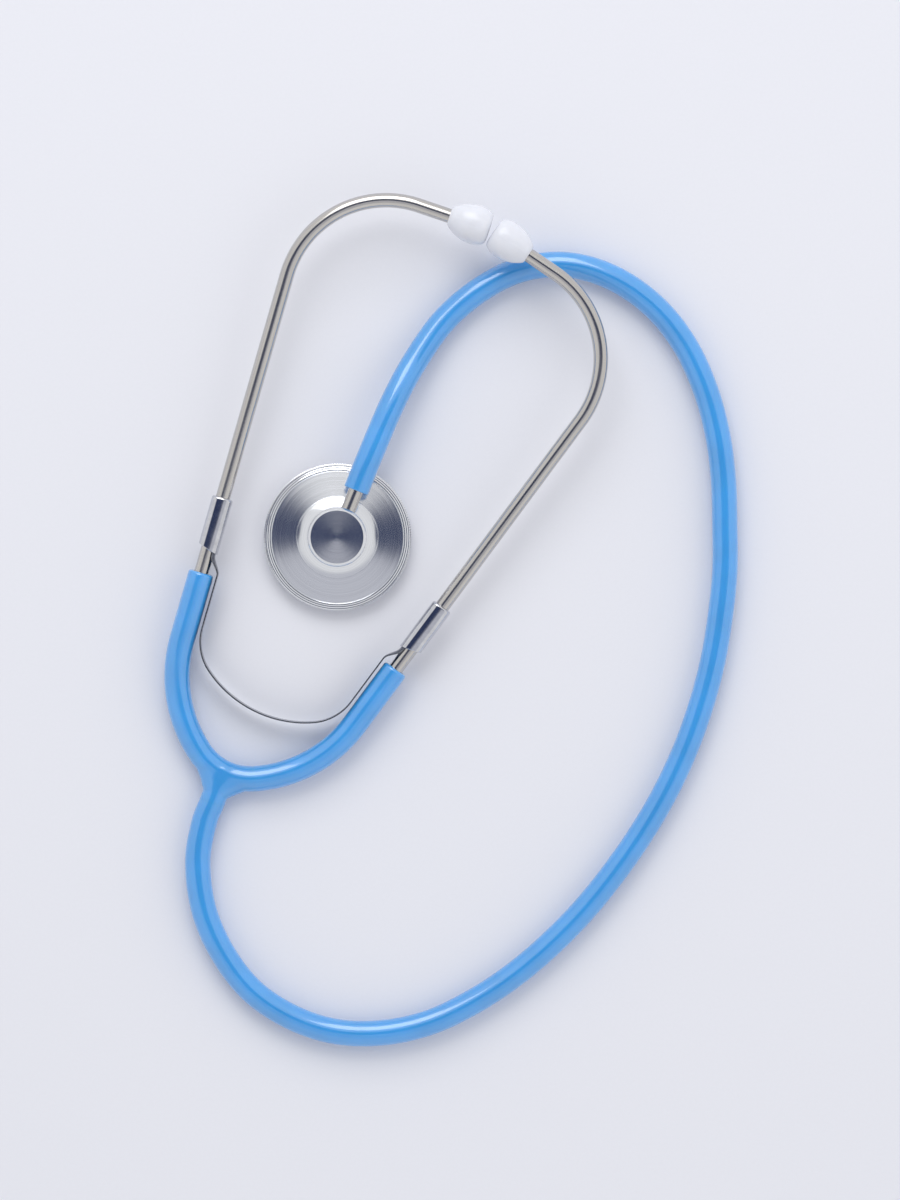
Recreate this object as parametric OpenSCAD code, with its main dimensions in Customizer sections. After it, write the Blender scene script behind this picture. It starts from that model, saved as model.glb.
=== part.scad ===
// Toy stethoscope lying on a table. Two nickel-plated ear tubes turn in chromed collars on a
// leaf spring, a soft blue Y tube joins them to one hose, and the hose ends at a turned
// metal chestpiece that lies on its diaphragm side. Millimetres, +Z up, table at zero.

/* [Chestpiece] */
// Outside diameter of the knurled retaining ring
ring_od = 46; // [42:0.5:52]
// Height of the retaining ring
ring_h = 5; // [4.5:0.1:7]
// Thickness of the ring's lip under the diaphragm
lip_h = 0.8; // [0.6:0.1:1.2]
// Width of the ring's lip that holds the diaphragm
lip_w = 3; // [2:0.1:4]
// Wall of the ring outside its thread
ring_wall = 1.7; // [1.4:0.1:2.2]
// Height of the knurled band
knurl_h = 3; // [2:0.1:3.4]
// Depth of the knurl
knurl_depth = 0.3; // [0.2:0.05:0.4]
// Number of ridges in the knurl
knurl_count = 120; // [90:10:150]
// Thickness of the diaphragm
diaphragm_t = 0.4; // [0.3:0.05:0.6]
// Thickness of the gasket over the diaphragm
gasket_t = 0.4; // [0.3:0.05:0.6]
// Width of the gasket
gasket_w = 2; // [1.5:0.1:2.5]
// Width of the bright turned land round the back
land_w = 0.7; // [0.5:0.1:1.2]
// Depth of the step inside that land
land_step = 0.3; // [0.2:0.05:0.5]
// Rise of the back from the land to the foot of the hub
dish_rise = 0.9; // [0.6:0.1:1.4]
// Diameter of the hub at its neck
hub_d = 18.4; // [16:0.2:21]
// Width of the hub's flared foot
flare_w = 3.6; // [2.5:0.1:4.5]
// Height of the hub's flared foot
flare_h = 3.6; // [2.5:0.1:4]
// Height of the hub over the stem's axis
hub_over_stem = 3.7; // [3.2:0.1:5]
// Size of the bevel at the top of the hub
hub_bevel = 0.8; // [0.5:0.1:1.2]
// Width and depth of the fine groove round the hub's flat top
hub_groove = 0.25; // [0.15:0.05:0.4]
// Depth of the sound chamber at its centre
chamber_h = 2; // [1:0.1:2.4]
// Diameter of the sound hole into the hub
sound_hole_d = 3.6; // [3:0.1:4]

/* [Stem] */
// Outside diameter of the stem
stem_od = 4.6; // [4:0.1:5]
// Bore of the stem
stem_bore = 2.6; // [2:0.1:3]
// Length of stem that shows between hub and hose
stem_show = 6.4; // [4:0.1:9]
// Length of stem inside the hose
stem_grip = 14; // [10:0.5:18]
// Length of stem inside the hub
stem_seat = 5.6; // [4:0.1:6.5]
// Depth of the grip grooves turned in the stem
stem_groove = 0.25; // [0.15:0.05:0.35]
// Direction of the stem, clockwise from +Y
stem_turn = 22; // [18:1:26]

/* [Hose and Y tube] */
// Outside diameter of the hose and the Y tube
hose_od = 8; // [7:0.1:8.6]
// Air passage of the Y tube
lumen_d = 4; // [3:0.1:4.2]
// Length of the Y tube's leg
leg_len = 10; // [9.5:0.5:12]
// Direction of the leg, clockwise from -Y
leg_turn = 21; // [18:1:27]
// Radius of the Y tube where it leaves the leg
root_r = 18.7; // [17:0.1:21]
// Angle turned on that radius, each side
root_angle = 30; // [26:1:34]
// Radius of each arm
arm_r = 42.5; // [40:0.5:45]
// Straight length at the end of each arm
arm_straight = 21.5; // [18:0.5:25]
// Length of ear tube inside the arm
arm_grip = 12; // [9:0.5:16]
// Radius of the rounded edge at the end of each arm
arm_edge = 0.9; // [0.5:0.1:1.2]
// Radius of the webs in the crotches of the Y
web_r = 6; // [4:0.5:6.5]
// Thickness of those webs
web_t = 5; // [3.5:0.1:6]

/* [Headset] */
// Outside diameter of the ear tubes
tube_od = 4.5; // [4:0.1:4.8]
// Wall of the ear tubes
tube_wall = 0.5; // [0.4:0.05:0.7]
// Straight length of ear tube past the arm
tube_straight = 96; // [92:0.5:100]
// Radius of the bend at the top of the ear tube
tube_bend_r = 32; // [30:0.5:34]
// Angle of that bend
tube_bend_angle = 92.5; // [90:0.5:95]
// Angle of each ear tube outwards from the middle line
splay = 10.2; // [9:0.2:12]
// Direction of the headset's middle line, clockwise from +Y
headset_turn = 26.4; // [24:0.2:29]
// Angle to which each arm can be opened
spread_max = 25; // [20:1:28]
// Length of ear tube that shows between arm and collar
collar_from = 7.6; // [6.4:0.1:9]
// Length of the collar
collar_len = 16.6; // [14:0.2:20]
// Wall of the collar
collar_wall = 0.5; // [0.4:0.05:0.7]
// Thickness of the leaf spring
spring_t = 0.45; // [0.35:0.05:0.55]
// Width of the leaf spring
spring_w = 4.5; // [3.5:0.1:5.5]
// Distance of the leaf spring's middle from the root of the Y
spring_from_root = 21.7; // [20:0.1:23]
// Radius of the leaf spring across the middle
spring_r = 36; // [34:0.5:38]
// Radius of the leaf spring's shoulders
shoulder_r = 16; // [14:0.5:18]
// Gap between the leaf spring and the arms
spring_arm_gap = 0.85; // [0.6:0.05:1.2]

/* [Ear tips] */
// Length of the ear tip
tip_len = 13; // [12:0.5:15]
// Widest diameter of the ear tip
tip_od = 12.2; // [11:0.1:13]
// Diameter of the ear tip at the tube
tip_entry_d = 5.8; // [5.6:0.1:7]
// Diameter of the ear tip's blunt nose
tip_nose_d = 7; // [6:0.1:8.5]
// Sound hole in the ear tip
tip_hole_d = 2.4; // [2:0.1:3]
// Length of ear tube inside the tip
tip_grip = 8; // [6:0.5:9]
// Gap between the two tips at rest
tips_gap = 0.5; // [0.4:0.05:1]

/* [Hidden] */

// Colours seen in the photograph
metal_colour = "#c9ccd0";
chrome_colour = "#d8d6d2";
steel_colour = "#8a8d93";
blue_colour = "#6fb2ee";
tip_colour = "#f1f2f5";
film_colour = "#dfe3ea";
rubber_colour = "#3a3d42";

// Places on the table
chest_x = -15.5;
chest_y = -11.3;
yoke_x = -51;
yoke_y = -84.5;

// Clearances and the one overrun for cuts
run_gap = 0.05;
thread_gap = 0.05;
spring_gap = 0.06;
rest_gap = 0.4;
over = 1;
// Straight runs reach this far into a bend, whose wall is thinned a little all round
seam = 0.3;
bend_thin = 0.02;
fine = 96;
round_steps = 6;
arc_step = 4;

// The chestpiece, from the table up
ring_r = ring_od / 2;
thread_r = ring_r - knurl_depth - ring_wall;
lip_r = thread_r - lip_w;
edge_cut = 0.3;
rim_base = lip_h + diaphragm_t + gasket_t;
rim_top = ring_h + edge_cut;
gasket_r = thread_r - run_gap;
chamber_r = thread_r - gasket_w;
hub_r = hub_d / 2;
foot_r = hub_r + flare_w;
dish_r = thread_r - land_w - land_step;
dish_z = rim_top - land_step;
foot_z = dish_z + dish_rise;
stem_in_r = hub_r - stem_seat;
hose_end_r = hub_r + stem_show;
under_hose_z = dish_z + dish_rise * (dish_r - hose_end_r) / (dish_r - foot_r);
stem_z = max(rim_top, under_hose_z) + hose_od / 2 + rest_gap;
hub_top = stem_z + hub_over_stem;
knurl_z = (ring_h - knurl_h) / 2;

// The headset rises from the Y tube so that the tips pass over the hose when the arms open
tube_r = tube_od / 2;
hose_r = hose_od / 2;
arm_heading = 90 - root_angle;
root_end = bend_end([0, 0], root_r, 90, arm_heading);
arm_bend_end = bend_end(root_end, arm_r, arm_heading, splay);
arm_end = arm_bend_end + arm_straight * along(splay);
tube_bend_start = arm_end + tube_straight * along(splay);
tip_heading = splay - tube_bend_angle;
tube_bend_end = bend_end(tube_bend_start, tube_bend_r, splay, tip_heading);

// The two noses stop short of the middle line
tip_length_shares = [0, 0.08, 0.2, 0.34, 0.48, 0.6, 0.72, 0.83, 0.92, 0.975, 1];
tip_swell_shares = [0, 0.25, 0.56, 0.81, 0.95, 1, 0.98, 0.88, 0.68, 0.4, 0];
tip_profile = [for (i = [0 : len(tip_length_shares) - 1])
    let (nose = tip_length_shares[i] > 0.6, foot_d = nose ? tip_nose_d : tip_entry_d)
    [(foot_d + (tip_od - foot_d) * tip_swell_shares[i]) / 2, tip_len * tip_length_shares[i]]];
tip_reach = max([for (p = tip_profile) -p[1] * sin(tip_heading) + p[0] * cos(tip_heading)]);
tip_run = (tube_bend_end[0] - tips_gap / 2 - tip_reach) / -sin(tip_heading);
tip_start = tube_bend_end + tip_run * along(tip_heading);
tip_height = hose_r + rest_gap + tip_od / 2;
arm_middle = bend_end(root_end, arm_r, arm_heading, (arm_heading + splay) / 2);
open_tip = arm_middle[1] + (tip_start - arm_middle) * [-sin(spread_max), cos(spread_max)];
headset_rise = asin(tip_height / open_tip);

// The collar holds the gutter-shaped ends of the leaf spring against the tube
gutter_r = tube_r + spring_gap;
collar_bore_r = gutter_r + spring_t + run_gap;
collar_r = collar_bore_r + collar_wall;
collar_lip = 1;
collar_edge = 0.3;
gutter_half_angle = 55;
gutter_len = collar_len - 2 * collar_lip;
gutter_show = 1.2;
spring_in = gutter_r + spring_t / 2;
spring_out = hose_r + spring_arm_gap + spring_t / 2;
jog_start = 0.5;
jog_end = collar_from - gutter_show + spring_gap;

// Hose route: the Y tube's leg, these points laid on the table, then up to the stem
hose_points = [
    [-59, -112.5, 4], [-57, -127.5, 4], [-51, -141, 4],
    [-42, -152.5, 4], [-30, -160.5, 4], [-16.5, -165, 4], [-2, -165.5, 4], [12.5, -162.5, 4],
    [25.5, -156.5, 4], [38, -148.5, 4], [49.5, -139, 4], [60, -128.5, 4], [69.5, -117, 4],
    [78, -105, 4], [85.5, -92.5, 4], [92, -79, 4], [97, -65.5, 4], [101, -51, 4],
    [103.5, -36.5, 4], [105, -22, 4], [105, -7, 4], [104.5, 7.5, 4], [102.5, 22, 4],
    [98.5, 36, 4], [92, 49.5, 4], [82.5, 61, 4], [70, 69.5, 4], [56, 73.5, 4],
    [41.5, 72, 4], [28.5, 65.5, 4], [17.5, 56, 4.2], [9, 44, 5.8], [2, 31, 8.6]];
hose_straight = 12;
leg_run = 7;
hose_sides = 12;
hose_route = concat([for (d = [0, leg_run]) leg_point(leg_len + d)], hose_points,
    [for (d = [hose_straight, 0]) stem_point(hose_end_r + d)]);

// Directions in the headset's plane: a heading of 0 runs up its middle line
function along(heading) = [sin(heading), cos(heading)];
function inward(heading) = [-cos(heading), sin(heading)];
function bend_end(start, r, from, to) = start + r * (inward(from) - inward(to));
function leg_point(d) =
    [yoke_x - d * sin(leg_turn), yoke_y - d * cos(leg_turn), hose_r];
function stem_point(d) =
    [chest_x + d * sin(stem_turn), chest_y + d * cos(stem_turn), stem_z];
function round_corner(corner, r, from) =
    [for (i = [0 : round_steps]) let (t = from + 90 * i / round_steps)
        corner + r * [cos(t), sin(t)]];
function unit(v) = v / norm(v);

module at_chest() {
    translate([chest_x, chest_y, 0]) children();
}

module on_stem_axis(d) {
    translate(stem_point(d)) rotate([0, 0, -stem_turn]) rotate([-90, 0, 0]) children();
}

// Places its children in the raised plane of the headset
module in_headset(side = 1) {
    translate([yoke_x, yoke_y, hose_r]) rotate([0, 0, -headset_turn]) rotate([headset_rise, 0, 0])
        mirror([side < 0 ? 1 : 0, 0, 0]) children();
}

// Stands its children's Z along a heading in that plane
module facing(start, heading) {
    translate([start[0], start[1], 0]) rotate([0, 0, -heading]) rotate([-90, 0, 0]) children();
}

// Sweeps its 2D children round a bend in that plane
module bend(start, r, from, to) {
    centre = start + r * inward(from);
    translate([centre[0], centre[1], 0]) rotate([0, 0, -from])
        rotate_extrude(angle = from - to, $fn = fine) translate([r, 0]) children();
}

module ring_section(od, bore) {
    difference() {
        circle(d = od, $fn = fine / 2);
        circle(d = bore, $fn = fine / 2);
    }
}

// Turned back of the chestpiece: land, shallow cone, flared hub, bell chamber and stem hole
module chestpiece_body() {
    flare = [for (i = [0 : 2 * round_steps]) let (t = 90 * i / (2 * round_steps))
        [foot_r - flare_w * sin(t), foot_z + flare_h * (1 - cos(t))]];
    outline = concat(
        [[0, rim_base + chamber_h], [sound_hole_d / 2, rim_base + chamber_h],
         [chamber_r - edge_cut, rim_base + edge_cut], [chamber_r, rim_base],
         [thread_r - edge_cut, rim_base], [thread_r, rim_base + edge_cut],
         [thread_r, rim_top - edge_cut], [thread_r - edge_cut, rim_top],
         [thread_r - land_w, rim_top], [dish_r, dish_z]],
        flare,
        [[hub_r, hub_top - hub_bevel], [hub_r - hub_bevel, hub_top],
         [hub_r - hub_bevel - hub_groove, hub_top - hub_groove],
         [hub_r - hub_bevel - 2 * hub_groove, hub_top], [0, hub_top]]);
    color(metal_colour) difference() {
        at_chest() rotate_extrude($fn = fine) polygon(outline);
        at_chest() translate([0, 0, rim_base])
            cylinder(d = sound_hole_d, h = stem_z - rim_base, $fn = fine / 2);
        on_stem_axis(stem_in_r) cylinder(d = stem_od, h = hub_r + over, $fn = fine / 2);
        on_stem_axis(0) cylinder(d = stem_bore, h = hub_r, $fn = fine / 2);
    }
}

// Screw ring with a knurled band; its lip carries the diaphragm
module retaining_ring() {
    bore_r = thread_r + thread_gap;
    core_r = ring_r - knurl_depth;
    shoulder = knurl_z / 2;
    outline = [[lip_r, 0], [core_r - shoulder, 0], [core_r, shoulder], [core_r, ring_h - shoulder],
        [core_r - shoulder, ring_h], [bore_r + edge_cut, ring_h], [bore_r, ring_h - edge_cut],
        [bore_r, lip_h], [lip_r + edge_cut, lip_h], [lip_r, lip_h - edge_cut]];
    teeth = [for (i = [0 : 2 * knurl_count - 1]) let (t = 180 * i / knurl_count)
        (i % 2 == 0 ? ring_r : core_r) * [cos(t), sin(t)]];
    color(metal_colour) at_chest() {
        rotate_extrude($fn = fine) polygon(outline);
        translate([0, 0, knurl_z]) linear_extrude(knurl_h) difference() {
            polygon(teeth);
            circle(r = (core_r + bore_r) / 2, $fn = fine);
        }
    }
}

module diaphragm() {
    color(film_colour) at_chest() translate([0, 0, lip_h])
        cylinder(r = gasket_r, h = diaphragm_t, $fn = fine);
}

module gasket() {
    color(rubber_colour) at_chest() translate([0, 0, lip_h + diaphragm_t])
        linear_extrude(gasket_t) ring_section(2 * gasket_r, 2 * chamber_r);
}

// Metal tube from the hub into the hose, with turned grooves that grip
module stem() {
    length = stem_seat + stem_show + stem_grip;
    r = stem_od / 2;
    pitch = stem_grip / 4;
    grooves = [for (i = [0 : 2]) let (z = length - stem_grip + pitch * (i + 1 / 2))
        each [[r, z], [r - stem_groove, z], [r, z + pitch * 3 / 4]]];
    outline = concat([[stem_bore / 2, 0], [r, 0]], grooves,
        [[r, length - stem_groove], [r - stem_groove, length], [stem_bore / 2, length]]);
    color(chrome_colour) on_stem_axis(stem_in_r) rotate_extrude($fn = fine / 2) polygon(outline);
}

// Round tube swept along its own points, with the last stretch bored for the stem
module hose() {
    n = len(hose_route);
    rings = [for (i = [0 : n - 1]) let (
        tangent = unit(hose_route[min(i + 1, n - 1)] - hose_route[max(i - 1, 0)]),
        side = unit(cross(tangent, [0, 0, 1])),
        up = cross(side, tangent))
        for (k = [0 : hose_sides - 1]) let (t = 360 * k / hose_sides)
            hose_route[i] + hose_r * (cos(t) * side + sin(t) * up)];
    walls = [for (i = [0 : n - 2], k = [0 : hose_sides - 1]) let (
        a = i * hose_sides + k, b = i * hose_sides + (k + 1) % hose_sides)
        each [[a, b, b + hose_sides], [a, b + hose_sides, a + hose_sides]]];
    ends = [[for (k = [hose_sides - 1 : -1 : 0]) k],
        [for (k = [0 : hose_sides - 1]) (n - 1) * hose_sides + k]];
    color(blue_colour) difference() {
        polyhedron(points = rings, faces = concat(walls, ends), convexity = 6);
        on_stem_axis(hose_end_r - over)
            cylinder(d = stem_od + 2 * run_gap, h = stem_grip + over + run_gap, $fn = fine / 2);
    }
}

// Middle of the Y tube: leg, the two roots of the arms, and webs in the crotches
module yoke() {
    lean = headset_turn - leg_turn;
    color(blue_colour) difference() {
        union() {
            yoke_pipes(hose_od);
            for (s = [0, 1]) at_yoke(headset_turn) mirror([s, 0, 0])
                linear_extrude(web_t, center = true) polygon(web(lean * (1 - 2 * s)));
        }
        yoke_pipes(lumen_d, over);
    }
}

// Outline of one web: an arc that touches the side of the leg and the side of the root
function web(lean) =
    let (side = hose_r - seam, w = side + web_r, reach = root_r + w,
        down = [sin(lean), -cos(lean)],
        out = [cos(lean), sin(lean)],
        t = sqrt(pow(reach, 2) - pow(w - root_r * sin(lean), 2)) - root_r * cos(lean),
        centre = w * out + t * down,
        to_root = atan2(root_r - centre[1], -centre[0]))
    concat([[0, 0]],
        [for (i = [0 : round_steps])
            let (a = to_root + (180 + lean - to_root) * i / round_steps)
            centre + web_r * [cos(a), sin(a)]],
        [t * down]);

module at_yoke(turn) {
    translate([yoke_x, yoke_y, hose_r]) rotate([0, 0, -turn]) children();
}

// One bend holds both roots; the leg leaves the middle of it, and is thinned again there
module yoke_pipes(d, more = 0) {
    root_d = d - 2 * bend_thin;
    in_headset() bend([-root_end[0], root_end[1]], root_r, 180 - arm_heading, arm_heading)
        circle(d = root_d, $fn = fine / 2);
    at_yoke(leg_turn) rotate([90, 0, 0])
        cylinder(d = root_d - 2 * bend_thin, h = leg_len + more, $fn = fine / 2);
    if (more > 0) for (side = [-1, 1]) in_headset(side)
        facing(root_end - seam * along(arm_heading), arm_heading)
            cylinder(d = root_d - 2 * bend_thin, h = more, $fn = fine / 2);
}

// Soft arm of the Y tube, with the seat of the ear tube at its end
module arm(side) {
    edge = concat([[0, -seam], [hose_r, -seam]],
        round_corner([hose_r - arm_edge, arm_straight - arm_edge], arm_edge, 0),
        [[0, arm_straight]]);
    color(blue_colour) in_headset(side) difference() {
        union() {
            bend(root_end, arm_r, arm_heading, splay)
                circle(d = hose_od - 2 * bend_thin, $fn = fine / 2);
            facing(arm_bend_end, splay) rotate_extrude($fn = fine / 2) polygon(edge);
        }
        facing(root_end - over * along(arm_heading), arm_heading)
            cylinder(d = lumen_d, h = over + seam, $fn = fine / 2);
        bend(root_end, arm_r, arm_heading, splay)
            circle(d = lumen_d - 2 * bend_thin, $fn = fine / 2);
        facing(arm_bend_end - seam * along(splay), splay)
            cylinder(d = lumen_d, h = arm_straight, $fn = fine / 2);
        facing(arm_end - arm_grip * along(splay), splay)
            cylinder(d = tube_od + 2 * run_gap, h = arm_grip + over, $fn = fine / 2);
    }
}

// One strip of spring steel: a U between the arms, with its ends rolled round the tubes
module leaf_spring() {
    color(steel_colour) in_headset() {
        linear_extrude(spring_w, center = true) polygon(spring_outline());
        for (s = [0, 1]) mirror([s, 0, 0])
            facing(arm_end + (collar_from - gutter_show) * along(splay), splay)
                rotate([0, 0, 180 - gutter_half_angle])
                rotate_extrude(angle = 2 * gutter_half_angle, $fn = fine)
                translate([gutter_r, 0]) square([spring_t, gutter_len + gutter_show]);
    }
}

// Middle line of the strip's right half, as [place, heading], from the middle to the collar
function spring_half() =
    let (beside_arm = arm_bend_end + spring_out * inward(splay),
        low = [0, spring_from_root],
        reach = (low + [0, spring_r] - beside_arm) * inward(splay) - shoulder_r,
        turn = asin(reach / (spring_r - shoulder_r)) - splay,
        heading = 90 - turn,
        steps = ceil(turn / arc_step),
        shoulder = bend_end(low, spring_r, 90, heading))
    concat(
        [for (i = [0 : steps]) let (h = 90 - turn * i / steps)
            [bend_end(low, spring_r, 90, h), h]],
        [for (i = [1 : 2 * round_steps])
            let (h = heading + (splay - heading) * i / (2 * round_steps))
            [bend_end(shoulder, shoulder_r, heading, h), h]],
        [[arm_end + jog_start * along(splay) + spring_out * inward(splay), splay],
         [arm_end + jog_end * along(splay) + spring_in * inward(splay), splay],
         [arm_end + (collar_from - spring_gap) * along(splay) + spring_in * inward(splay), splay]]);
function spring_outline() =
    let (half = spring_half(),
        outer = [for (p = half) p[0] - spring_t / 2 * inward(p[1])],
        inner = [for (p = half) p[0] + spring_t / 2 * inward(p[1])],
        n = len(half))
    concat([for (i = [n - 1 : -1 : 1]) [-outer[i][0], outer[i][1]]], outer,
        [for (i = [n - 1 : -1 : 0]) inner[i]], [for (i = [1 : n - 1]) [-inner[i][0], inner[i][1]]]);

// Chromed collar with rolled lips; the lower lip is open where the spring passes
module collar(side) {
    open_half_angle = gutter_half_angle + 8;
    outline = concat([[collar_bore_r, 0], [collar_r - collar_edge, 0], [collar_r, collar_edge]],
        round_corner([collar_r - collar_edge, collar_len - collar_edge], collar_edge, 0),
        [[tube_r + run_gap, collar_len], [tube_r + run_gap, collar_len - collar_lip],
         [collar_bore_r, collar_len - collar_lip]]);
    color(chrome_colour) in_headset(side) facing(arm_end + collar_from * along(splay), splay) {
        rotate_extrude($fn = fine) polygon(outline);
        rotate([0, 0, open_half_angle - 180])
            rotate_extrude(angle = 360 - 2 * open_half_angle, $fn = fine)
            translate([tube_r + run_gap, 0])
            square([collar_bore_r + collar_wall / 2 - tube_r - run_gap, collar_lip]);
    }
}

// Plated ear tube: one pipe from inside the arm to inside the ear tip
module ear_tube(side) {
    bore = tube_od - 2 * tube_wall;
    color(chrome_colour) in_headset(side) {
        facing(arm_end - arm_grip * along(splay), splay)
            linear_extrude(arm_grip + tube_straight + seam) ring_section(tube_od, bore);
        bend(tube_bend_start, tube_bend_r, splay, tip_heading)
            ring_section(tube_od - 2 * bend_thin, bore + 2 * bend_thin);
        facing(tube_bend_end - seam * along(tip_heading), tip_heading)
            linear_extrude(seam + tip_run + tip_grip) ring_section(tube_od, bore);
    }
}

// Olive-shaped ear tip with its tube socket and sound hole
module ear_tip(side) {
    socket_r = tube_r + run_gap;
    socket = tip_grip + run_gap;
    outline = concat([[socket_r, 0]], tip_profile,
        [[tip_hole_d / 2, tip_len], [tip_hole_d / 2, socket], [socket_r, socket]]);
    color(tip_colour) in_headset(side) facing(tip_start, tip_heading)
        rotate_extrude($fn = fine / 2) polygon(outline);
}

module left_arm() { arm(-1); }
module right_arm() { arm(1); }
module left_collar() { collar(-1); }
module right_collar() { collar(1); }
module left_ear_tube() { ear_tube(-1); }
module right_ear_tube() { ear_tube(1); }
module left_ear_tip() { ear_tip(-1); }
module right_ear_tip() { ear_tip(1); }

chestpiece_body();
retaining_ring();
diaphragm();
gasket();
stem();
hose();
yoke();
left_arm();
right_arm();
leaf_spring();
left_collar();
right_collar();
left_ear_tube();
right_ear_tube();
left_ear_tip();
right_ear_tip();
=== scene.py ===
"""Dresses the toy stethoscope: finished pieces over its CAD solids, a stage and a camera."""
import math
from contextlib import contextmanager

import bpy
import numpy as np
from mathutils import Matrix, Vector


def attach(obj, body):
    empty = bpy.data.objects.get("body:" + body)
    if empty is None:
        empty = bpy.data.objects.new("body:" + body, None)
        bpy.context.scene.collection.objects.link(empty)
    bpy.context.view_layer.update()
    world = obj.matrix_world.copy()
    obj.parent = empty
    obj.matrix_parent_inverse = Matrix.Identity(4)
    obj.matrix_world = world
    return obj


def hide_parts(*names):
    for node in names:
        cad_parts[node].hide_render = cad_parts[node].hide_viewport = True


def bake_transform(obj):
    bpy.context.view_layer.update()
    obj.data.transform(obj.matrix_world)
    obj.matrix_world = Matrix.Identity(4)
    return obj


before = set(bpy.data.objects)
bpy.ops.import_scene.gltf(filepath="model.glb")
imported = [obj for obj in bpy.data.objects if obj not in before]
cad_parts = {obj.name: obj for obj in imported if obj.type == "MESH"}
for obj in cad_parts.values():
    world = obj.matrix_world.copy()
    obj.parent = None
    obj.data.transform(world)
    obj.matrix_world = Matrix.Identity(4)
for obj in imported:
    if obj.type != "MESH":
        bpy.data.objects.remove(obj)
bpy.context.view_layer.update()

MM = 0.001

bl_info = {
    "name": "Toy stethoscope",
    "version": (1, 0, 0),
    "blender": (4, 5, 0),
    "location": "View3D > Sidebar > Stethoscope",
    "description": "Dresses the CAD solids of a toy stethoscope and sets its stage",
    "category": "Object",
}

# The middle of the hose's route over the table, the same points as in the CAD source, in mm
HOSE_POINTS = [
    (-59, -112.5, 4), (-57, -127.5, 4), (-51, -141, 4),
    (-42, -152.5, 4), (-30, -160.5, 4), (-16.5, -165, 4), (-2, -165.5, 4), (12.5, -162.5, 4),
    (25.5, -156.5, 4), (38, -148.5, 4), (49.5, -139, 4), (60, -128.5, 4), (69.5, -117, 4),
    (78, -105, 4), (85.5, -92.5, 4), (92, -79, 4), (97, -65.5, 4), (101, -51, 4),
    (103.5, -36.5, 4), (105, -22, 4), (105, -7, 4), (104.5, 7.5, 4), (102.5, 22, 4),
    (98.5, 36, 4), (92, 49.5, 4), (82.5, 61, 4), (70, 69.5, 4), (56, 73.5, 4),
    (41.5, 72, 4), (28.5, 65.5, 4), (17.5, 56, 4.2), (9, 44, 5.8), (2, 31, 8.6)]

# Half the outline of an ear tip, as shares of its length and of its swell
TIP_LENGTH_SHARES = (0, 0.08, 0.2, 0.34, 0.48, 0.6, 0.72, 0.83, 0.92, 0.975, 1)
TIP_SWELL_SHARES = (0, 0.25, 0.56, 0.81, 0.95, 1, 0.98, 0.88, 0.68, 0.4, 0)


def length_property(name, description, default_mm):
    """A length that a user can change, given in mm and kept in metres."""
    return bpy.props.FloatProperty(name=name, description=description, default=default_mm * MM,
                                   min=0, unit="LENGTH", precision=5)


def angle_property(name, description, default_degrees):
    """An angle that a user can change."""
    return bpy.props.FloatProperty(name=name, description=description,
                                   default=math.radians(default_degrees), subtype="ANGLE")


def linear(hex_colour):
    """The linear colour of an sRGB hex value."""
    shares = [int(hex_colour[i:i + 2], 16) / 255 for i in (1, 3, 5)]
    return tuple(c / 12.92 if c <= 0.04045 else ((c + 0.055) / 1.055) ** 2.4 for c in shares)


def colour_property(name, description, hex_colour):
    """A colour that a user can change, given as its sRGB hex value."""
    return bpy.props.FloatVectorProperty(name=name, description=description, size=3, min=0, max=1,
                                         subtype="COLOR", default=linear(hex_colour))


class SoundTubeSizes(bpy.types.PropertyGroup):
    """The soft hose and the Y tube that it is moulded with."""
    diameter: length_property("Diameter", "Outside diameter of the hose and the Y tube", 8)
    leg: length_property("Leg", "Length of the Y tube's leg", 10)
    leg_turn: angle_property("Leg turn", "Direction of the leg, clockwise from -Y", 21)
    leg_run: length_property("Leg run", "Straight hose after the leg", 7)
    stem_run: length_property("Stem run", "Straight hose before the stem", 12)
    root_radius: length_property("Root radius", "Radius of the Y tube beside its leg", 18.7)
    root_angle: angle_property("Root angle", "Angle turned on that radius, each side", 30)
    arm_radius: length_property("Arm radius", "Radius of each arm", 42.5)
    arm_straight: length_property("Arm straight", "Straight length at the end of each arm", 21.5)
    arm_grip: length_property("Arm grip", "Length of ear tube inside the arm", 12)
    arm_edge: length_property("Arm edge", "Radius of the rounded edge at the end of an arm", 0.9)
    web: length_property("Web", "Size of the webs in the crotches of the Y", 7)


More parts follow.
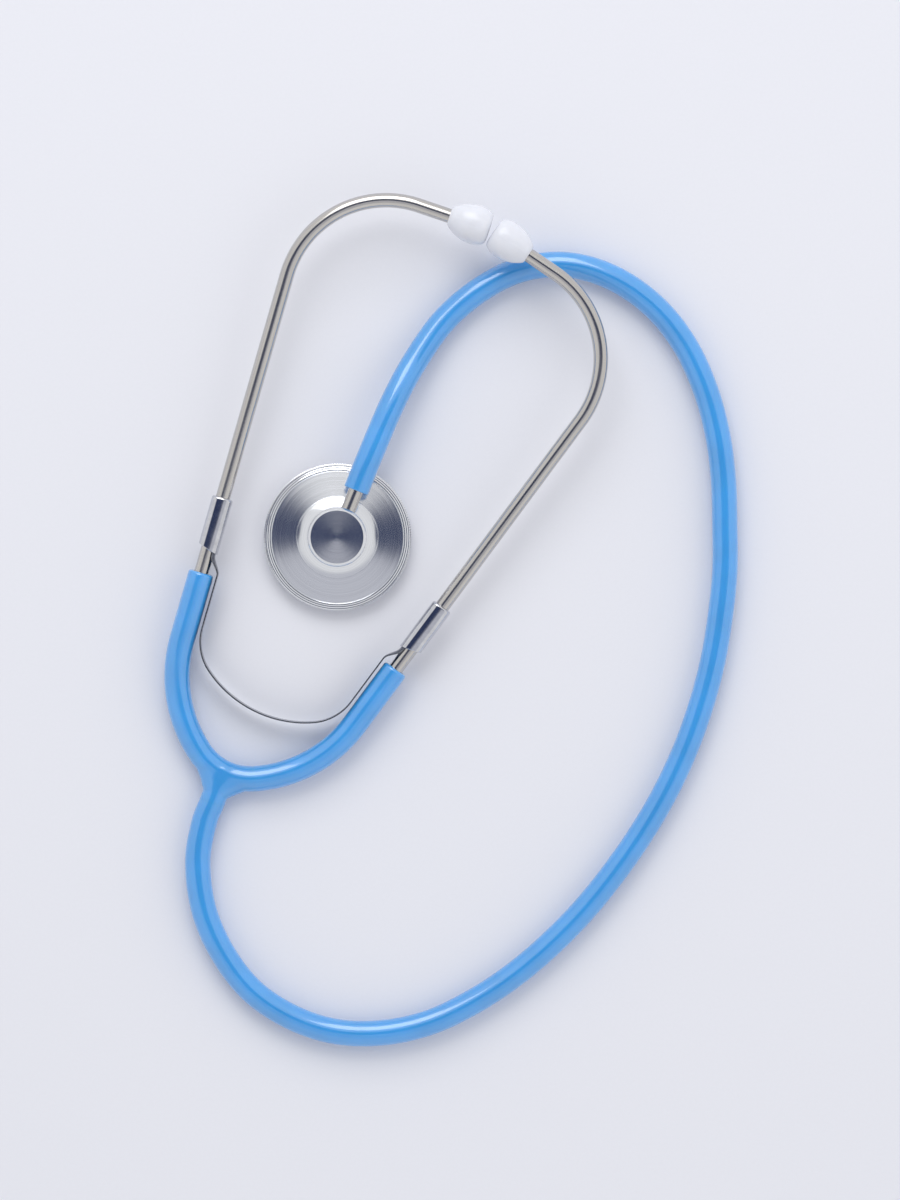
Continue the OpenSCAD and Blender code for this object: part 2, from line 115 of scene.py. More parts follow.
class HeadsetSizes(bpy.types.PropertyGroup):
    """Ear tubes, collars and leaf spring, which lie in one raised plane."""
    turn: angle_property("Turn", "Direction of the middle line, clockwise from +Y", 26.4)
    splay: angle_property("Splay", "Angle of each ear tube outwards from the middle line", 10.2)
    spread: angle_property("Spread", "Angle to which each arm can be opened", 25)
    tube: length_property("Tube", "Outside diameter of the ear tubes", 4.5)
    wall: length_property("Wall", "Wall of the ear tubes", 0.5)
    straight: length_property("Straight", "Straight length of ear tube past the arm", 96)
    bend_radius: length_property("Bend radius", "Radius at the top of the ear tube", 32)
    bend_angle: angle_property("Bend angle", "Angle of the bend at the top", 92.5)
    collar_from: length_property("Collar from", "Ear tube that shows between arm and collar", 7.6)
    collar: length_property("Collar", "Length of the collar", 16.6)
    collar_wall: length_property("Collar wall", "Wall of the collar", 0.5)
    spring: length_property("Spring", "Thickness of the leaf spring", 0.45)
    spring_width: length_property("Spring width", "Width of the leaf spring", 4.5)
    spring_root: length_property("Spring from root", "Leaf spring's middle from the Y's root", 21.7)
    spring_radius: length_property("Spring radius", "Radius across the middle", 36)
    shoulder_radius: length_property("Shoulder radius", "Radius of the spring's shoulders", 16)
    arm_gap: length_property("Arm gap", "Gap between the leaf spring and the arms", 0.85)
    tip: length_property("Tip", "Length of the ear tip", 13)
    tip_width: length_property("Tip width", "Widest diameter of the ear tip", 12.2)
    tip_entry: length_property("Tip entry", "Diameter of the ear tip at the tube", 5.8)
    tip_nose: length_property("Tip nose", "Diameter of the ear tip's blunt nose", 7)
    tip_hole: length_property("Tip hole", "Sound hole in the ear tip", 2.4)
    tip_grip: length_property("Tip grip", "Length of ear tube inside the tip", 8)


class ChestpieceSizes(bpy.types.PropertyGroup):
    """The turned back, its screw ring, the diaphragm and the stem."""
    ring: length_property("Ring", "Outside diameter of the knurled ring", 46)
    ring_height: length_property("Ring height", "Height of the knurled ring", 5)
    knurl: length_property("Knurl", "Depth of the knurl", 0.3)
    teeth: bpy.props.IntProperty(name="Teeth", description="Ridges round the knurled ring",
                                 default=180, min=60, max=240)
    hub: length_property("Hub", "Diameter of the hub at its neck", 18.4)
    hub_top: length_property("Hub top", "Height of the hub over the table", 13.65)
    stem: length_property("Stem", "Outside diameter of the stem", 4.6)
    stem_turn: angle_property("Stem turn", "Direction of the stem, clockwise from +Y", 22)
    stem_height: length_property("Stem height", "Height of the stem's axis over the table", 9.95)


class Finishes(bpy.types.PropertyGroup):
    """Colours of the materials."""
    vinyl: colour_property("Vinyl", "Soft blue hose and Y tube", "#349AE3")
    nickel: colour_property("Nickel", "Plated ear tubes and stem", "#C8C5C2")
    chrome: colour_property("Chrome", "Plated collars", "#CFD0D6")
    steel: colour_property("Steel", "Leaf spring", "#777A83")
    aluminium: colour_property("Aluminium", "Turned chestpiece", "#E2E4E9")
    tip: colour_property("Ear tip", "White ear tips", "#DFE1E9")
    film: colour_property("Film", "Diaphragm", "#DFE3EA")
    rubber: colour_property("Rubber", "Gasket", "#3A3D42")
    floor: colour_property("Floor", "Pale studio floor", "#E3E4EB")


SIZE_GROUPS = {"hose": SoundTubeSizes, "headset": HeadsetSizes, "chest": ChestpieceSizes,
               "finish": Finishes}
SIDES = ((-1, "left"), (1, "right"))
# The Y tube's root, and the chestpiece's middle on the table
YOKE = Vector((-51, -84.5, 4)) * MM
CHEST = Vector((-15.5, -11.3, 0)) * MM
# The hose's end, measured from the chestpiece's axis, and the diaphragm's underside
HOSE_END = 15.6 * MM
FILM_LOW = 0.8 * MM
# Clearance of what an ear tube or the stem goes through, and of the tips from the middle line
# at rest and from the hose's top when the arms are open
FIT = 0.06 * MM
TIP_GAP = 0.25 * MM
TIP_OVER_HOSE = 0.4 * MM
# How far round a tube's end its ring is looked for, as a share of its radius
REACH = 1.05


def sizes(group):
    """One of the groups of sizes that the panel shows."""
    return getattr(bpy.context.scene, "stethoscope_" + group)


# Places

def along(heading):
    """Direction in the headset's plane, where a heading of 0 runs up its middle line."""
    return np.array((math.sin(heading), math.cos(heading)))


def inward(heading):
    """Direction across a heading, towards the middle line."""
    return np.array((-math.cos(heading), math.sin(heading)))


def bend_point(start, radius, entry, heading):
    """Where a bend that enters at one heading has turned to another."""
    return start + radius * (inward(entry) - inward(heading))


class Headset:
    """Points of the headset's right half, in its own plane, and that plane in the world."""

    def __init__(self):
        soft, head = sizes("hose"), sizes("headset")
        right = math.pi / 2
        self.splay = head.splay
        self.root_heading = right - soft.root_angle
        self.root_end = bend_point(np.zeros(2), soft.root_radius, right, self.root_heading)
        self.arm_bend_end = bend_point(self.root_end, soft.arm_radius, self.root_heading,
                                       head.splay)
        self.arm_end = self.arm_bend_end + soft.arm_straight * along(head.splay)
        self.bend_start = self.arm_end + head.straight * along(head.splay)
        self.tip_heading = head.splay - head.bend_angle
        self.bend_end = bend_point(self.bend_start, head.bend_radius, head.splay, self.tip_heading)
        profile = tip_outline(head)
        reach = max(-s * math.sin(self.tip_heading) + r * math.cos(self.tip_heading)
                    for r, s in profile)
        run = (self.bend_end[0] - TIP_GAP - reach) / -math.sin(self.tip_heading)
        self.tip_start = self.bend_end + run * along(self.tip_heading)
        # The headset rises so far that the tips pass over the hose when the arms open
        middle = bend_point(self.root_end, soft.arm_radius, self.root_heading,
                            (self.root_heading + head.splay) / 2)
        opened = middle[1] + (self.tip_start - middle) @ (-math.sin(head.spread),
                                                          math.cos(head.spread))
        rise = math.asin((soft.diameter / 2 + TIP_OVER_HOSE + head.tip_width / 2) / opened)
        self.plane = (Matrix.Translation(YOKE) @ Matrix.Rotation(-head.turn, 4, "Z")
                      @ Matrix.Rotation(rise, 4, "X"))

    def world(self, point, side=1):
        """A point of the plane, on the right or mirrored to the left, in the world."""
        return self.plane @ Vector((side * point[0], point[1], 0))

    def direction(self, heading, side=1):
        """A heading, on the right or mirrored to the left, as a direction in the world."""
        return self.plane.to_3x3() @ Vector((side * math.sin(heading), math.cos(heading), 0))

    def facing(self, start, heading, side):
        """A place whose Z runs along a heading and whose X stands up from the plane."""
        z = Vector((side * math.sin(heading), math.cos(heading), 0))
        x = Vector((0, 0, 1))
        turn = Matrix((x, z.cross(x), z)).transposed().to_4x4()
        return self.plane @ Matrix.Translation((side * start[0], start[1], 0)) @ turn


def arc_points(start, radius, entry, leave, steps):
    """Points round a bend, without its start."""
    return [bend_point(start, radius, entry, entry + (leave - entry) * i / steps)
            for i in range(1, steps + 1)]


def straight_points(start, reach, steps):
    """Points on a straight stretch, without its start."""
    return [start + reach * i / steps for i in range(1, steps + 1)]


def tip_outline(head):
    """Corners of an ear tip's outline as (radius, distance from the tube)."""
    outline = []
    for share, swell in zip(TIP_LENGTH_SHARES, TIP_SWELL_SHARES):
        foot = head.tip_nose if share > 0.6 else head.tip_entry
        outline.append(((foot + (head.tip_width - foot) * swell) / 2, head.tip * share))
    return outline


def smooth_line(points, pieces):
    """A smooth line through points, each span cut into a number of pieces."""
    p = np.array(points, float)
    p = np.vstack([2 * p[0] - p[1], p, 2 * p[-1] - p[-2]])
    line = []
    for i in range(1, len(p) - 2):
        for t in np.arange(pieces) / pieces:
            line.append(0.5 * (2 * p[i] + (p[i + 1] - p[i - 1]) * t
                               + (2 * p[i - 1] - 5 * p[i] + 4 * p[i + 1] - p[i + 2]) * t ** 2
                               + (3 * p[i] - p[i - 1] - 3 * p[i + 1] + p[i + 2]) * t ** 3))
    line.append(p[-2])
    return line


def stem_point(distance):
    """A point on the stem's axis, measured from the chestpiece's axis."""
    chest = sizes("chest")
    return CHEST + Vector((distance * math.sin(chest.stem_turn),
                           distance * math.cos(chest.stem_turn), chest.stem_height))


def leg_point(distance):
    """A point on the axis of the Y tube's leg."""
    turn = sizes("hose").leg_turn
    return YOKE - Vector((distance * math.sin(turn), distance * math.cos(turn), 0))


# Modelling

def select_nothing():
    """Free every object, the CAD solids too, so that an operator meets only its own piece."""
    bpy.ops.object.select_all(action="DESELECT")


def take(piece):
    """Select one piece alone and make it the active one."""
    select_nothing()
    piece.select_set(True)
    bpy.context.view_layer.objects.active = piece


@contextmanager
def editing(piece, everything=True):
    """Edit one piece alone, with all of it selected or nothing, and leave edit mode again."""
    take(piece)
    bpy.ops.object.mode_set(mode="EDIT")
    bpy.ops.mesh.select_all(action="SELECT" if everything else "DESELECT")
    yield
    bpy.ops.object.mode_set(mode="OBJECT")


def merge(threshold=0.002 * MM):
    """In edit mode, merge doubled vertices and turn the faces outwards."""
    bpy.ops.mesh.select_all(action="SELECT")
    bpy.ops.mesh.remove_doubles(threshold=threshold)
    bpy.ops.mesh.normals_make_consistent(inside=False)


def apply_modifier(piece, kind, **settings):
    """Give a piece a modifier with its settings, and apply it."""
    take(piece)
    modifier = piece.modifiers.new(kind.lower(), kind)
    for key, value in settings.items():
        setattr(modifier, key, value)
    bpy.ops.object.modifier_apply(modifier=modifier.name)


def string(name, points):
    """A string of vertices, made by extruding one vertex from point to point."""
    points = [Vector(p) for p in points]
    select_nothing()
    bpy.ops.mesh.primitive_plane_add(size=MM, location=(0, 0, 0))
    piece = bpy.context.object
    piece.name = piece.data.name = name
    with editing(piece):
        bpy.ops.mesh.merge(type="CENTER")
        bpy.ops.transform.translate(value=points[0])
        for start, end in zip(points, points[1:]):
            bpy.ops.mesh.extrude_vertices_move(TRANSFORM_OT_translate={"value": end - start})
    return piece


def turned(name, outline, steps):
    """Spin a closed outline of (radius, height) round Z, as on a lathe."""
    piece = string(name, [(r, 0, z) for r, z in outline])
    with editing(piece):
        bpy.ops.mesh.spin(steps=steps, angle=2 * math.pi, center=(0, 0, 0), axis=(0, 0, 1))
        merge()
    return piece


def rounded(corners, steps=3):
    """A closed outline whose corners (radius, height, edge) are rounded where edge is over 0."""
    outline = []
    for i, (x, y, edge) in enumerate(corners):
        if edge <= 0:
            outline.append((x, y))
            continue
        here = np.array((x, y))
        before = np.array(corners[i - 1][:2]) - here
        after = np.array(corners[(i + 1) % len(corners)][:2]) - here
        before, after = before / np.linalg.norm(before), after / np.linalg.norm(after)
        for t in (k / steps for k in range(steps + 1)):
            outline.append(tuple(here + edge * ((1 - t) ** 2 * before + t ** 2 * after)))
    return outline + outline[:1]


def swept(name, path, radius, sides):
    """A round tube with open ends, from a string that is made a curve with a bevel."""
    string(name, path)
    bpy.ops.object.convert(target="CURVE")
    curve = bpy.context.object.data
    curve.fill_mode = "FULL"
    curve.bevel_depth = radius
    curve.bevel_resolution = sides // 2 - 2
    bpy.ops.object.convert(target="MESH")
    piece = bpy.context.object
    piece.name = piece.data.name = name
    with editing(piece):
        merge()
    return piece


def copied(piece, name):
    """A copy of a piece, with its own mesh."""
    take(piece)
    bpy.ops.object.duplicate()
    copy = bpy.context.object
    copy.name = copy.data.name = name
    return copy


def place(piece, matrix):
    """Carry a piece made round the origin to its place, and leave the place in its mesh."""
    take(piece)
    piece.matrix_world = matrix
    bpy.ops.object.transform_apply(location=True, rotation=True, scale=True)


def finish_end(piece, at, radius, edge=0, steps=4, bore=0, depth=0, outwards=None):
    """Close a tube's open end, round its edge and sink a bore into it."""
    with editing(piece, everything=False):
        bpy.ops.mesh.select_mode(type="VERT")
        bpy.ops.mesh.select_non_manifold(extend=False, use_wire=False, use_multi_face=False,
                                         use_non_contiguous=False, use_verts=False)
    vertices = piece.data.vertices
    for vertex in vertices:
        vertex.select = vertex.select and (vertex.co - Vector(at)).length < radius * REACH
    for side in piece.data.edges:
        side.select = all(vertices[v].select for v in side.vertices)
    bpy.ops.object.mode_set(mode="EDIT")
    bpy.ops.mesh.edge_face_add()
    bpy.ops.mesh.select_mode(type="FACE")
    turn = [math.pi / 2 * k / steps for k in range(steps + 1)]
    if edge > 0:
        for a, b in zip(turn, turn[1:]):
            bpy.ops.mesh.inset(thickness=edge * (math.cos(a) - math.cos(b)),
                               depth=edge * (math.sin(b) - math.sin(a)))
    if bore > 0:
        bpy.ops.mesh.inset(thickness=radius - edge - bore, depth=0)
        bpy.ops.mesh.extrude_region_move(
            TRANSFORM_OT_translate={"value": -depth * Vector(outwards)})
    bpy.ops.mesh.select_mode(type="VERT")
    bpy.ops.object.mode_set(mode="OBJECT")


def square_end(piece, at, outwards, radius):
    """Set the ring of vertices at a tube's end square to its heading, to meet its neighbour."""
    first_ring = 0.1 * MM
    for vertex in piece.data.vertices:
        off = vertex.co - Vector(at)
        if off.length < radius * REACH and abs(off.dot(outwards)) < first_ring:
            vertex.co -= off.dot(outwards) * outwards


def positions(piece):
    """The places of a piece's vertices."""
    points = np.empty(len(piece.data.vertices) * 3)
    piece.data.vertices.foreach_get("co", points)
    return points.reshape(-1, 3)


def straighten(piece, path):
    """Give each vertex its place in the tube drawn out straight, for the marks of extrusion."""
    line = np.array([tuple(p) for p in path])
    run = np.concatenate([[0], np.cumsum(np.linalg.norm(np.diff(line, axis=0), axis=1))])
    heading = np.gradient(line, axis=0)
    heading /= np.linalg.norm(heading, axis=1)[:, None]
    side = np.cross(heading, (0, 0, 1))
    side /= np.linalg.norm(side, axis=1)[:, None]
    up = np.cross(side, heading)
    points = positions(piece)
    nearest = np.array([np.argmin(((line - p) ** 2).sum(axis=1)) for p in points])
    off = points - line[nearest]
    drawn = np.stack([(off * axis[nearest]).sum(axis=1) for axis in (heading, side, up)], axis=1)
    drawn[:, 0] += run[nearest]
    layer = piece.data.attributes.new("drawn_out", "FLOAT_VECTOR", "POINT")
    layer.data.foreach_set("vector", drawn.astype(np.float32).ravel())


def dress(piece, look):
    """Give a piece the material of one finish, and nothing else."""
    piece.data.materials.clear()
    piece.data.materials.append(finish(look))


def hand_over(piece, look, solid, body=None, sharp=30):
    """Dress and shade a made piece, and let it replace its solid and ride on a body."""
    dress(piece, look)
    take(piece)
    bpy.ops.object.shade_smooth_by_angle(angle=math.radians(sharp))
    # Broad faces rule the shading of the narrow ones beside them
    apply_modifier(piece, "WEIGHTED_NORMAL", keep_sharp=True)
    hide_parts(solid)
    if body:
        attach(piece, body)


# Materials

def node(tree, kind, inputs=None, **settings):
    """Add a node with its settings and its inputs, each a value or the node that feeds it."""
    added = tree.nodes.new("ShaderNode" + kind)
    for key, value in settings.items():
        setattr(added, key, value)
    for key, value in (inputs or {}).items():
        # A node gives its first output, and a socket stands for another one
        source = value.outputs[0] if isinstance(value, bpy.types.Node) else value
        if isinstance(source, bpy.types.NodeSocket):
            tree.links.new(source, added.inputs[key])
        else:
            added.inputs[key].default_value = source
    return added


def emptied(owner):
    """The node tree of a new material or world, with nothing in it."""
    owner.use_nodes = True
    owner.node_tree.nodes.clear()
    return owner.node_tree


def per(grain):
    """The scale of a pattern whose grain is given in mm."""
    return 1 / (grain * MM)


def surface(tree, colour, tint, shades, inputs, marks=None, gloss=(0, 0)):
    """Shade a surface: a pattern takes its colour darker and lighter, and marks vary its gloss."""
    ramp = node(tree, "ValToRGB", {"Fac": tint})
    for stop, position, shade in zip(ramp.color_ramp.elements, (0.3, 0.7), shades):
        stop.position = position
        stop.color = [min(1, c * shade) for c in colour] + [1]
    inputs = {"Base Color": ramp, **inputs}
    if marks:
        inputs["Roughness"] = node(tree, "MapRange",
                                   {"Value": marks, "To Min": gloss[0], "To Max": gloss[1]})
    shader = node(tree, "BsdfPrincipled", inputs)
    node(tree, "OutputMaterial", {"Surface": shader})


def vinyl(tree, colour, gloss):
    """Soft PVC: a satin skin with faint lengthwise die lines."""
    spot = node(tree, "TexCoord").outputs["Object"]
    drawn = node(tree, "Attribute", attribute_name="drawn_out").outputs["Vector"]
    # Die lines about 0.6 mm apart that run 40 mm before they fade
    lines = node(tree, "Mapping", {"Vector": drawn, "Scale": (per(40), per(0.625), per(0.625))})
    streaks = node(tree, "TexNoise", {"Vector": lines, "Scale": 1, "Detail": 3})
    # Clouding of the plasticiser, about 12 mm across
    clouds = node(tree, "TexNoise", {"Vector": spot, "Scale": per(12.5), "Detail": 2})
    # Grain of the skin, coarser than real so that it shows
    grain = node(tree, "TexNoise", {"Vector": spot, "Scale": per(0.357), "Detail": 2})
    relief = node(tree, "Bump", {"Height": streaks, "Strength": 0.12, "Distance": 0.02 * MM})
    skin = node(tree, "Bump", {"Height": grain, "Strength": 0.1, "Distance": 0.01 * MM,
                               "Normal": relief})
    surface(tree, colour, clouds, (0.93, 1.05),
            {"IOR": 1.56, "Coat Weight": 1, "Coat IOR": 1.8, "Coat Roughness": 0.1,
             "Subsurface Weight": 0.25, "Subsurface Radius": (0.3, 0.6, 1),
             "Subsurface Scale": 1.5 * MM, "Sheen Weight": 0.15, "Sheen Roughness": 0.4,
             "Normal": skin}, streaks, gloss)


def metal(tree, colour, gloss, grain, depth=0.004, drawn=False, rings=False, anisotropy=0,
          stretch=(1, 1, 1)):
    """Metal whose grain varies gloss and tint: all over, along a drawn tube or in turned rings."""
    spot = marked = node(tree, "TexCoord").outputs["Object"]
    strength, inputs = 0.25, {"Metallic": 1}
    if drawn:
        # Marks fifty times as long as they are wide
        stretch = (0.02, 1, 1)
        marked = node(tree, "Attribute", attribute_name="drawn_out").outputs["Vector"]
    if rings:
        centred = node(tree, "Mapping", {"Vector": spot, "Location": -CHEST})
        parts = node(tree, "SeparateXYZ", {"Vector": centred}).outputs
        flat = node(tree, "CombineXYZ", {"X": parts["X"], "Y": parts["Y"]})
        distance = node(tree, "VectorMath", {0: flat}, operation="LENGTH").outputs["Value"]
        marked = node(tree, "CombineXYZ", {"X": distance, "Z": parts["Z"]})
    mapping = node(tree, "Mapping", {"Vector": marked, "Scale": stretch})
    height = marks = node(tree, "TexNoise", {"Vector": mapping, "Scale": per(grain), "Detail": 4,
                                             "Roughness": 0.6})
    if rings:
        # The tool's chatter: rings five times as broad, which come and go every 8 mm
        broad = node(tree, "TexNoise", {"Vector": mapping, "Scale": per(5 * grain), "Detail": 2})
        patches = node(tree, "TexNoise", {"Vector": spot, "Scale": per(7.69), "Detail": 1})
        chatter = node(tree, "Math", {0: broad, 1: patches}, operation="MULTIPLY")
        height = node(tree, "Math", {0: chatter, 1: 6, 2: marks}, operation="MULTIPLY_ADD")
        strength = 0.5
        # The marks run round the axis and spread the light across themselves
        inputs["Tangent"] = node(tree, "Tangent", direction_type="RADIAL", axis="Z")
        inputs["Anisotropic"] = anisotropy
        inputs["Anisotropic Rotation"] = 0.25 if anisotropy else 0
    inputs["Normal"] = node(tree, "Bump", {"Height": height, "Strength": strength,
                                           "Distance": depth * MM})
    surface(tree, colour, marks, (0.9, 1.04), inputs, marks, gloss)


def plastic(tree, colour, gloss, grain, depth, subsurface=0):
    """A moulded or cast plastic: fine pebbling in the gloss and a slight tint in the body."""
    spot = node(tree, "TexCoord").outputs["Object"]
    body = node(tree, "TexNoise", {"Vector": spot, "Scale": per(4), "Detail": 3})
    skin = node(tree, "TexNoise", {"Vector": spot, "Scale": per(grain), "Detail": 2})
    relief = node(tree, "Bump", {"Height": skin, "Strength": 0.15, "Distance": depth * MM})
    surface(tree, colour, body, (0.96, 1.01),
            {"Subsurface Weight": subsurface, "Subsurface Radius": (1, 0.9, 0.8),
             "Subsurface Scale": 1 * MM, "Normal": relief}, skin, gloss)


# Each finish: its material's name, its colour, how it is made and with what. Gloss is the range
# of roughness, and grain and depth are in mm. Grain is coarser than real so that it shows
FINISHES = {
    # Extruded and dip moulded: a clear skin over a soft body, with long soft highlights
    "vinyl": ("soft vinyl extruded", "vinyl", vinyl, {"gloss": (0.3, 0.42)}),
    # Drawn and plated: faint lines along it, soft reflections of a warm grey
    "nickel": ("nickel plated steel drawn", "nickel", metal,
               {"gloss": (0.13, 0.23), "grain": 0.5, "drawn": True}),
    # Polished and plated: a bright mirror with hardly a mark
    "chrome": ("chrome plated steel", "chrome", metal,
               {"gloss": (0.05, 0.1), "grain": 2, "depth": 0.002}),
    # Rolled strip: dark and satin, with faint lines along it
    "steel": ("spring steel strip", "steel", metal,
              {"gloss": (0.14, 0.24), "grain": 0.417, "drawn": True}),
    # Faced on a lathe: fine rings that draw light into radial fans
    "aluminium": ("aluminium turned", "aluminium", metal,
                  {"gloss": (0.14, 0.22), "grain": 0.25, "depth": 0.006, "rings": True,
                   "anisotropy": 0.4, "stretch": (1, 1, 0.2)}),
    # Turned and knurled: crisp bevels
    "knurled": ("aluminium knurled", "aluminium", metal,
                {"gloss": (0.14, 0.22), "grain": 0.333, "rings": True}),
    # Moulded: a smooth white that lets a little light in
    "tip": ("rigid vinyl moulded", "tip", plastic,
            {"gloss": (0.16, 0.24), "grain": 0.556, "depth": 0.006, "subsurface": 0.15}),
    # Cast film: pale, with a soft sheen
    "film": ("polyester film", "film", plastic,
             {"gloss": (0.3, 0.4), "grain": 0.385, "depth": 0.01}),
    # Cut sheet: dark and matt
    "rubber": ("nitrile rubber", "rubber", plastic,
               {"gloss": (0.55, 0.7), "grain": 0.455, "depth": 0.02}),
}


def finish(look):
    """The material of one finish, made the first time it is asked for."""
    name, colour, make, settings = FINISHES[look]
    material = bpy.data.materials.get(name)
    if not material:
        material = bpy.data.materials.new(name)
        make(emptied(material), getattr(sizes("finish"), colour), **settings)
    return material


# Operators

class SetStage(bpy.types.Operator):
    """Lay the pale floor, hang the soft lights and set the camera straight above"""
    bl_idname = "stethoscope.stage"
    bl_label = "Stage"

    def execute(self, context):
        scene = context.scene
        select_nothing()
        bpy.ops.mesh.primitive_plane_add(size=8, location=(0, 0, 0))
        floor = context.object
        floor.name = "floor"
        paper = bpy.data.materials.new("studio floor paper")
        tree = emptied(paper)
        # Tooth of matt card, 1 mm
        spot = node(tree, "TexCoord").outputs["Object"]
        tooth = node(tree, "TexNoise", {"Vector": spot, "Scale": per(1), "Detail": 2})
        surface(tree, sizes("finish").floor, tooth, (0.995, 1.005),
                {"Roughness": 0.85, "Specular IOR Level": 0.2})
        floor.data.materials.append(paper)

        self.hang("key light", (-0.17, 1.2, 1.15), (1.1, 1.1), 11)
        self.hang("side light", (1.6, -0.2, 0.9), (2.0, 2.0), 5, mirrored=False)
        self.tent(scene)
        scene.view_settings.view_transform = "Standard"

        lens = bpy.data.cameras.new("camera")
        camera = bpy.data.objects.new("camera", lens)
        scene.collection.objects.link(camera)
        # Straight above, far off: the image's height takes in 373 mm at 5 mm over the table
        distance, seen, level = 1.9, 0.3732, 0.005
        camera.location = (0.0195, -0.0308, distance + level)
        lens.sensor_width = 36
        lens.lens = lens.sensor_width * distance / seen
        lens.clip_end = 50
        scene.camera = camera
        return {"FINISHED"}

    def tent(self, scene):
        """Light from all round: pale walls, a duller ceiling and a narrow dark panel in it."""
        scene.world = bpy.data.worlds.new("studio")
        tree = emptied(scene.world)
        direction = node(tree, "TexCoord").outputs["Generated"]
        # Brighter towards +Y, where the walls reach 16 degrees nearer to straight above
        tilted = node(tree, "Mapping",
                      {"Vector": direction, "Rotation": (math.radians(-16), 0, 0)})
        height = node(tree, "SeparateXYZ", {"Vector": tilted}).outputs["Z"]
        walls = node(tree, "ValToRGB", {"Fac": height})
        # From walls to ceiling, 32 to 18 degrees from its middle
        for stop, position, colour in zip(walls.color_ramp.elements, (0.85, 0.95),
                                          ("#FFFFFF", "#DADBE2")):
            stop.position = position
            stop.color = linear(colour) + (1,)
        # The panel, 68 by 21 degrees and a little past the middle: it gives plated tubes the
        # dark stripe on top, and the turned dish its dark and bright quarters
        panel = node(tree, "Mapping", {"Vector": direction, "Location": (-0.02, 0.062, 0),
                                       "Rotation": (0, 0, math.radians(-3)),
                                       "Scale": (0.56, 0.186, 1000)}, vector_type="TEXTURE")
        distance = node(tree, "VectorMath", {0: panel}, operation="LENGTH").outputs["Value"]
        outside = node(tree, "MapRange", {"Value": distance, "From Min": 0.92, "From Max": 1.08})
        dark = node(tree, "Background", {"Color": linear("#3B4563") + (1,)})
        pale = node(tree, "Background", {"Color": walls, "Strength": 0.88})
        both = node(tree, "MixShader", {0: outside, 1: dark, 2: pale})
        node(tree, "OutputWorld", {"Surface": both})

    def hang(self, name, at, size, power, mirrored=True):
        """Hang a soft light that faces the object, and say whether metal mirrors it."""
        light = bpy.data.lights.new(name, "AREA")
        light.shape = "RECTANGLE"
        light.size, light.size_y = size
        light.energy = power
        lamp = bpy.data.objects.new(name, light)
        bpy.context.scene.collection.objects.link(lamp)
        lamp.location = at
        lamp.visible_glossy = mirrored
        middle = Vector((0, -0.02, 0))
        lamp.rotation_euler = (middle - Vector(at)).to_track_quat("-Z", "Y").to_euler()


class MakeHose(bpy.types.Operator):
    """Sweep the free hose from the Y tube's leg to the chestpiece's stem"""
    bl_idname = "stethoscope.hose"
    bl_label = "Hose"

    def execute(self, context):
        soft, chest = sizes("hose"), sizes("chest")
        radius = soft.diameter / 2
        edge, seat = 0.35 * MM, 14 * MM
        start = [leg_point(soft.leg), leg_point(soft.leg + soft.leg_run)]
        end = [stem_point(HOSE_END + soft.stem_run), stem_point(HOSE_END)]
        path = smooth_line([tuple(p) for p in start + [Vector(p) * MM for p in HOSE_POINTS] + end],
                           10)
        outwards = (end[1] - end[0]).normalized()
        short = path[:-1] + [path[-1] - edge * np.array(outwards)]
        hose = swept("hose_tube", short, radius, 40)
        square_end(hose, path[0], (leg_point(0) - leg_point(1)).normalized(), radius)
        finish_end(hose, path[0], radius)
        finish_end(hose, short[-1], radius, edge=edge, bore=chest.stem / 2 + FIT, depth=seat,
                   outwards=outwards)
        straighten(hose, path)
        hand_over(hose, "vinyl", "hose", "root")
        return {"FINISHED"}


